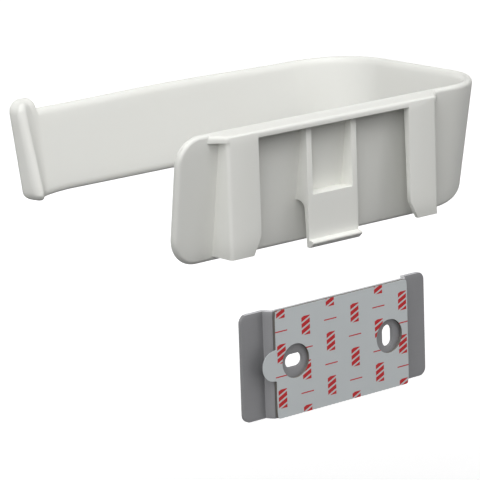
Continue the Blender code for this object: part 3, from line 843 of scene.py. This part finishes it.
def taped(size, name, thickness, back, tab):
    """A layer over the plate's middle with two round holes, and a pull tab on one edge where asked for."""
    half, near = size.height / 2, size.tape_half - HOLE_X
    grids = []
    for side in (1, -1):
        left, right, turns = round_hole(side, near, half, 160)
        reach = box_reach(turns, left, right, half, TAPE_CORNER, side)
        if tab and side > 0:
            cos, sin = np.cos(turns), np.maximum(np.abs(np.sin(turns)), TINY)
            out = near + TAB_NECK
            bulge = out * cos + np.sqrt(np.maximum(size.tab ** 2 - (out * sin) ** 2, 0))
            neck = size.tab / sin
            on_tab = (cos > 0) & (sin * near < size.tab * cos)
            reach = np.where(on_tab, np.where(neck * cos < out, neck, bulge), reach)
        grids.append((annulus(np.full(len(turns), size.hole), reach, side * HOLE_X, 8, turns), True))
    flat, faces = joined(grids)
    level = np.full(len(flat), back + thickness / 2)
    layer = lay(name, np.column_stack([flat[:, 0], level, flat[:, 1] + plate_middle()]), faces)
    modify(layer, "SOLIDIFY", thickness=thickness, offset=0.0)
    smooth(layer)
    return layer


# Materials

CUT_EDGE_HIGHLIGHT = 0.0002  # width of the brighter steel along the upper and lower cut edges: partly bare cut metal, partly a painted highlight


def plastic_finish(shades):
    """White moulded plastic: a satin skin with a faint cloudiness, fine ripples and a few duller places."""
    finish = material("moulded_plastic")
    cloud = finish.noise(45.0, 4.0)
    pale = solid(shades.plastic)
    warm = solid(shades.plastic, (1.0, 0.993, 0.975))
    finish.set("Base Color", finish.blend(cloud, pale, warm))
    fine = finish.noise(2600.0, 2.0)
    finish.set("Roughness", 0.40 + 0.08 * cloud)
    ripple = finish.noise(160.0, 2.0)
    skin_bump = finish.bump(fine, 0.000012)
    finish.set("Normal", finish.bump(ripple, 0.00003, under=skin_bump))
    finish.set("Specular IOR Level", 0.3)


def steel_finish(shades, size):
    """Satin steel sheet: fine lines from rolling, uneven gloss, and a brighter band along the cut edges,
    partly bare cut metal and partly a painted highlight.
    """
    finish = material("satin_steel_sheet")
    finish.set("Metallic", 0.5)
    lines = finish.noise(1.0, 3.0, finish.stretch((60.0, 900.0, 5200.0)))
    cloud = finish.noise(120.0, 4.0)
    dark = solid(shades.steel, 0.86)
    face = finish.blend(lines * 0.5 + cloud * 0.5, dark, solid(shades.steel))
    # painted highlight: a band along the upper and lower edges gets a much lighter steel colour, standing in
    # for light catching the cut edges
    cut_edge_highlight = abs(finish.along("Z") - plate_middle()) > size.height / 2 - CUT_EDGE_HIGHLIGHT
    finish.set("Base Color", finish.blend(cut_edge_highlight, face, solid([min(c * 2.2, 0.8) for c in shades.steel])))
    finish.set("Roughness", 0.42 + 0.06 * lines + 0.06 * cloud)
    finish.set("Normal", finish.bump(lines, 0.000012))


def foam_finish(shades):
    """Closed-cell foam: fine cells, matt."""
    finish = material("foam_core")
    finish.set("Roughness", 0.85)
    cells = finish.node("ShaderNodeTexVoronoi", values={"Vector": finish.place(), "Scale": 5200.0})
    finish.set("Base Color", finish.blend(cells, solid(shades.foam), solid(shades.foam, 0.9)))
    finish.set("Normal", finish.bump(cells, 0.00003))


MARK_COLUMN = 0.0106  # from one column of marks to the next
MARK_PITCH = 0.0150  # from one mark to the next in a column
MARK_START = 0.0040
MARK_HALF = (0.0018, 0.0032)  # half width and half height of a mark
MARK_DASH = 0.0021  # from one dash to the next in a mark
MARK_INK = 0.00145  # how much of that is printed
MARK_SLANT = 0.45
RULE_HALF = (0.0027, 0.0002)


def liner_marks(finish):
    """1 on the printed marks and 0 elsewhere: columns of slanted dashes with a thin rule after each mark.

    Every other column is shifted by half a pitch. A dash takes up part of each dash pitch along its slant.
    """
    x, z = finish.along("X"), finish.along("Z") - plate_middle()
    column = x // MARK_COLUMN
    off = x - (column + 0.5) * MARK_COLUMN
    level = (z + column * (MARK_PITCH / 2) + MARK_START) % MARK_PITCH - MARK_PITCH / 2
    dash = (level + off * MARK_SLANT) % MARK_DASH < MARK_INK
    dash = dash * (abs(level) < MARK_HALF[1]) * (abs(off) < MARK_HALF[0])
    rule = (abs(level) > MARK_PITCH / 2 - RULE_HALF[1]) * (abs(off) < RULE_HALF[0])
    return dash.join("MAXIMUM", dash, rule)


def paper_finish(shades):
    """Silicone-coated liner: a pale grey film with slight waves, a soft sheen and plain red marks."""
    finish = material("release_film")
    cloud = finish.noise(90.0, 3.0)
    light = solid(shades.paper, 1.06)
    bare = finish.blend(cloud, solid(shades.paper), light)
    finish.set("Base Color", finish.blend(liner_marks(finish), bare, solid(shades.print_red)))
    finish.set("Roughness", 0.28 + 0.12 * cloud)
    wave = finish.noise(220.0, 2.0)
    finish.set("Normal", finish.bump(wave, 0.00004))


# Operators


class RollHolder:
    """What the operators share."""

    bl_options = {"REGISTER", "UNDO"}


class ROLLHOLDER_OT_finishes(RollHolder, bpy.types.Operator):
    """Make the materials"""

    bl_idname = "rollholder.finishes"
    bl_label = "Make finishes"

    def execute(self, context):
        shades = context.scene.roll_holder_finishes
        plastic_finish(shades)
        steel_finish(shades, context.scene.roll_holder_plate)
        foam_finish(shades)
        paper_finish(shades)
        return {"FINISHED"}


class ROLLHOLDER_OT_band(RollHolder, bpy.types.Operator):
    """Build the band: panel, side wall, arm and lip"""

    bl_idname = "rollholder.band"
    bl_label = "Build band"

    def execute(self, context):
        grid = band_points(context.scene.roll_holder_sizes)
        band = lay("holder_band", grid, quads(*grid.shape[:2]))
        smooth(band, 60.0)
        dress(band, *PLASTIC, "holder")
        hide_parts("holder_body")
        return {"FINISHED"}


class ROLLHOLDER_OT_mount(RollHolder, bpy.types.Operator):
    """Build the ledge and the two rails"""

    bl_idname = "rollholder.mount"
    bl_label = "Build ledge and rails"

    def execute(self, context):
        make_mount(context.scene.roll_holder_sizes)
        return {"FINISHED"}


class ROLLHOLDER_OT_tongue(RollHolder, bpy.types.Operator):
    """Build the ribs, the web and the snap tongue"""

    bl_idname = "rollholder.tongue"
    bl_label = "Build ribs and tongue"

    def execute(self, context):
        make_tongue(context.scene.roll_holder_sizes)
        return {"FINISHED"}


class ROLLHOLDER_OT_plate(RollHolder, bpy.types.Operator):
    """Build the steel wall plate"""

    bl_idname = "rollholder.plate"
    bl_label = "Build wall plate"

    def execute(self, context):
        make_plate(context.scene.roll_holder_plate)
        return {"FINISHED"}


class ROLLHOLDER_OT_tape(RollHolder, bpy.types.Operator):
    """Build the foam tape and its release liner"""

    bl_idname = "rollholder.tape"
    bl_label = "Build tape and liner"

    def execute(self, context):
        size = context.scene.roll_holder_plate
        back = LAYER_GAP - SHEET_FACE
        foam = taped(size, "foam_tape_core", size.tape, back, False)
        liner = taped(size, "release_liner_film", LINER, back + size.tape + LAYER_GAP, True)
        dress(foam, "foam_core", "grey_foam", "plate")
        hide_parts("foam_tape")
        dress(liner, "release_film", "release_paper", "liner")
        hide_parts("release_liner")
        return {"FINISHED"}


class ROLLHOLDER_OT_stage(RollHolder, bpy.types.Operator):
    """Set up the floor, the lamps, the world and the camera"""

    bl_idname = "rollholder.stage"
    bl_label = "Set up stage"

    def execute(self, context):
        make_floor(context.scene.roll_holder_finishes)
        make_world()
        make_lamps()
        make_camera()
        context.scene.view_settings.view_transform = "Standard"
        return {"FINISHED"}


WHITE = (1, 1, 1)
FLOOR_Z = -0.26
FLOOR_BOUNCE = 0.13  # how much of the light the floor throws back at the part
FLOOR_HALF = 6.0
FLOOR_GLOW = 0.25  # what the floor adds below the part, where the lamps light it, to look white
GLOW_NEAR, GLOW_FAR = 0.2, 1.2  # between these distances that grows to 1


def ray(finish, kind):
    """1 for one kind of ray, such as Camera or Glossy, and 0 for every other."""
    return finish.node("ShaderNodeLightPath", output=f"Is {kind} Ray")


def make_floor(shades):
    """A plain pale floor, far enough below for the holder's shadow to stay soft."""
    corners = [(x * FLOOR_HALF, y * FLOOR_HALF, FLOOR_Z) for x, y in ((-1, -1), (1, -1), (1, 1), (-1, 1))]
    mesh = bpy.data.meshes.new("floor")
    mesh.from_pydata(corners, [], [(0, 1, 2, 3)])
    floor = add("floor", mesh)
    finish = material("pale_floor")
    finish.set("Roughness", 0.9)
    looked_at = ray(finish, "Camera")
    finish.set("Base Color", finish.blend(looked_at, solid(WHITE, FLOOR_BOUNCE), solid(shades.floor)))
    finish.set("Specular IOR Level", 0.0)
    away = finish.node("ShaderNodeVectorMath", {"operation": "LENGTH"}, {0: finish.place()}, output="Value")
    far = finish.node("ShaderNodeMapRange", {"interpolation_type": "SMOOTHSTEP"},
                      {"Value": away, "From Min": GLOW_NEAR, "From Max": GLOW_FAR, "To Min": FLOOR_GLOW})
    shown = far * looked_at + ray(finish, "Glossy") * MIRRORED
    finish.set("Emission Color", finish.blend(shown, solid(WHITE, 0), solid(WHITE)))
    finish.set("Emission Strength", 1.0)
    mesh.materials.append(finish.made)


WORLD_LEVEL = 0.02
MIRRORED = 0.5  # how bright the room looks in a reflection


def make_world():
    """A plain world: white where it is seen or mirrored, and a soft even light for the rest."""
    world = bpy.data.worlds.new("studio")
    bpy.context.scene.world = world
    finish = Finish(world)
    soft, mirrored, shown = (
        finish.node("ShaderNodeBackground", values={"Color": solid(WHITE), "Strength": level})
        for level in (WORLD_LEVEL, MIRRORED, 1.0))
    both = finish.node("ShaderNodeMixShader", values={0: ray(finish, "Glossy"), 1: soft, 2: mirrored})
    both = finish.node("ShaderNodeMixShader", values={0: ray(finish, "Camera"), 1: both, 2: shown})
    finish.feed(finish.tree.nodes["World Output"].inputs["Surface"], both)


LAMP_AIM = (0.0, -0.04, -0.03)
LAMP_DISTANCE = 1.3
LAMP_WIDTH = 0.9
LAMPS = (
    # name, azimuth from -Y towards +X and elevation in degrees, power
    ("overhead", 0.0, 89.5, 0.3),
    ("high_front", 120.0, 60.0, 6.6),
    ("high_back", 180.0, 60.0, 6.2),
    ("low_front", 135.0, 30.0, 6.7),
    ("low_side", 225.0, 30.0, 4.3),
    ("low_end", 92.0, 4.0, 2.6),
    ("user_side", 5.0, 6.0, 7.5),
)


def put(name, data, turn, rise, target, distance, roll=0.0):
    """Add a lamp or camera that looks at a target, from an azimuth and elevation in degrees."""
    turn, rise, roll = math.radians(turn), math.radians(rise), math.radians(roll)
    back = np.array([math.sin(turn) * math.cos(rise), -math.cos(turn) * math.cos(rise), math.sin(rise)])
    level = np.array([-back[1], back[0], 0]) / math.cos(rise)
    over = np.cross(back, level)
    right = math.cos(roll) * level + math.sin(roll) * over
    rows = np.column_stack([right, np.cross(back, right), back, target + distance * back])
    item = add(name, data)
    item.matrix_world = Matrix([*rows.tolist(), [0, 0, 0, 1]])
    return item


def make_lamps():
    """Large soft area lamps, turned to one point."""
    for name, turn, rise, power in LAMPS:
        lamp = bpy.data.lights.new(name, "AREA")
        lamp.shape = "DISK"
        lamp.size = LAMP_WIDTH
        lamp.energy = power
        put(name, lamp, turn, rise, LAMP_AIM, LAMP_DISTANCE)


CAMERA_TURN = 140.535596  # degrees, as for the lamps
CAMERA_RISE = 13.435597
CAMERA_ROLL = -2.0
CAMERA_DISTANCE = 0.993092
CAMERA_TARGET = (0.0245991, -0.0200000, -0.0388871)
CAMERA_LENS = 229.42795  # for Blender's sensor, 36 wide
CAMERA_SHIFT = (-0.0013875, -0.0003604)


def make_camera():
    """The camera at the photograph's angle."""
    camera = bpy.data.cameras.new("camera")
    camera.lens = CAMERA_LENS
    camera.shift_x, camera.shift_y = CAMERA_SHIFT
    camera.clip_start, camera.clip_end = 0.01, 20.0
    view = CAMERA_TURN, CAMERA_RISE, CAMERA_TARGET, CAMERA_DISTANCE, CAMERA_ROLL
    bpy.context.scene.camera = put("camera", camera, *view)


class ROLLHOLDER_PT_panel(bpy.types.Panel):
    """The operators, in the order in which they run"""

    bl_idname = "ROLLHOLDER_PT_panel"
    bl_label = "Roll holder"
    bl_space_type = "VIEW_3D"
    bl_region_type = "UI"
    bl_category = "Roll holder"

    def draw(self, context):
        for step in OPERATORS:
            self.layout.operator(step.bl_idname)
        for group in GROUPS:
            held = getattr(context.scene, group)
            for key in held.__annotations__:
                self.layout.prop(held, key)


OPERATORS = (
    ROLLHOLDER_OT_finishes,
    ROLLHOLDER_OT_band,
    ROLLHOLDER_OT_mount,
    ROLLHOLDER_OT_tongue,
    ROLLHOLDER_OT_plate,
    ROLLHOLDER_OT_tape,
    ROLLHOLDER_OT_stage,
)
GROUPS = {"roll_holder_sizes": HolderSizes, "roll_holder_plate": PlateSizes, "roll_holder_finishes": Finishes}
CLASSES = (*GROUPS.values(), *OPERATORS, ROLLHOLDER_PT_panel)


def register():
    """Register the classes and hang their settings on the scene."""
    for item in CLASSES:
        bpy.utils.register_class(item)
    for name, group in GROUPS.items():
        setattr(bpy.types.Scene, name, PointerProperty(type=group))


def unregister():
    """Take the settings and the classes away again."""
    for name in GROUPS:
        delattr(bpy.types.Scene, name)
    for item in reversed(CLASSES):
        bpy.utils.unregister_class(item)


def main():
    """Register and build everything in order."""
    register()
    for step in OPERATORS:
        group, call = step.bl_idname.split(".")
        getattr(getattr(bpy.ops, group), call)()


if __name__ == "__main__":
    main()
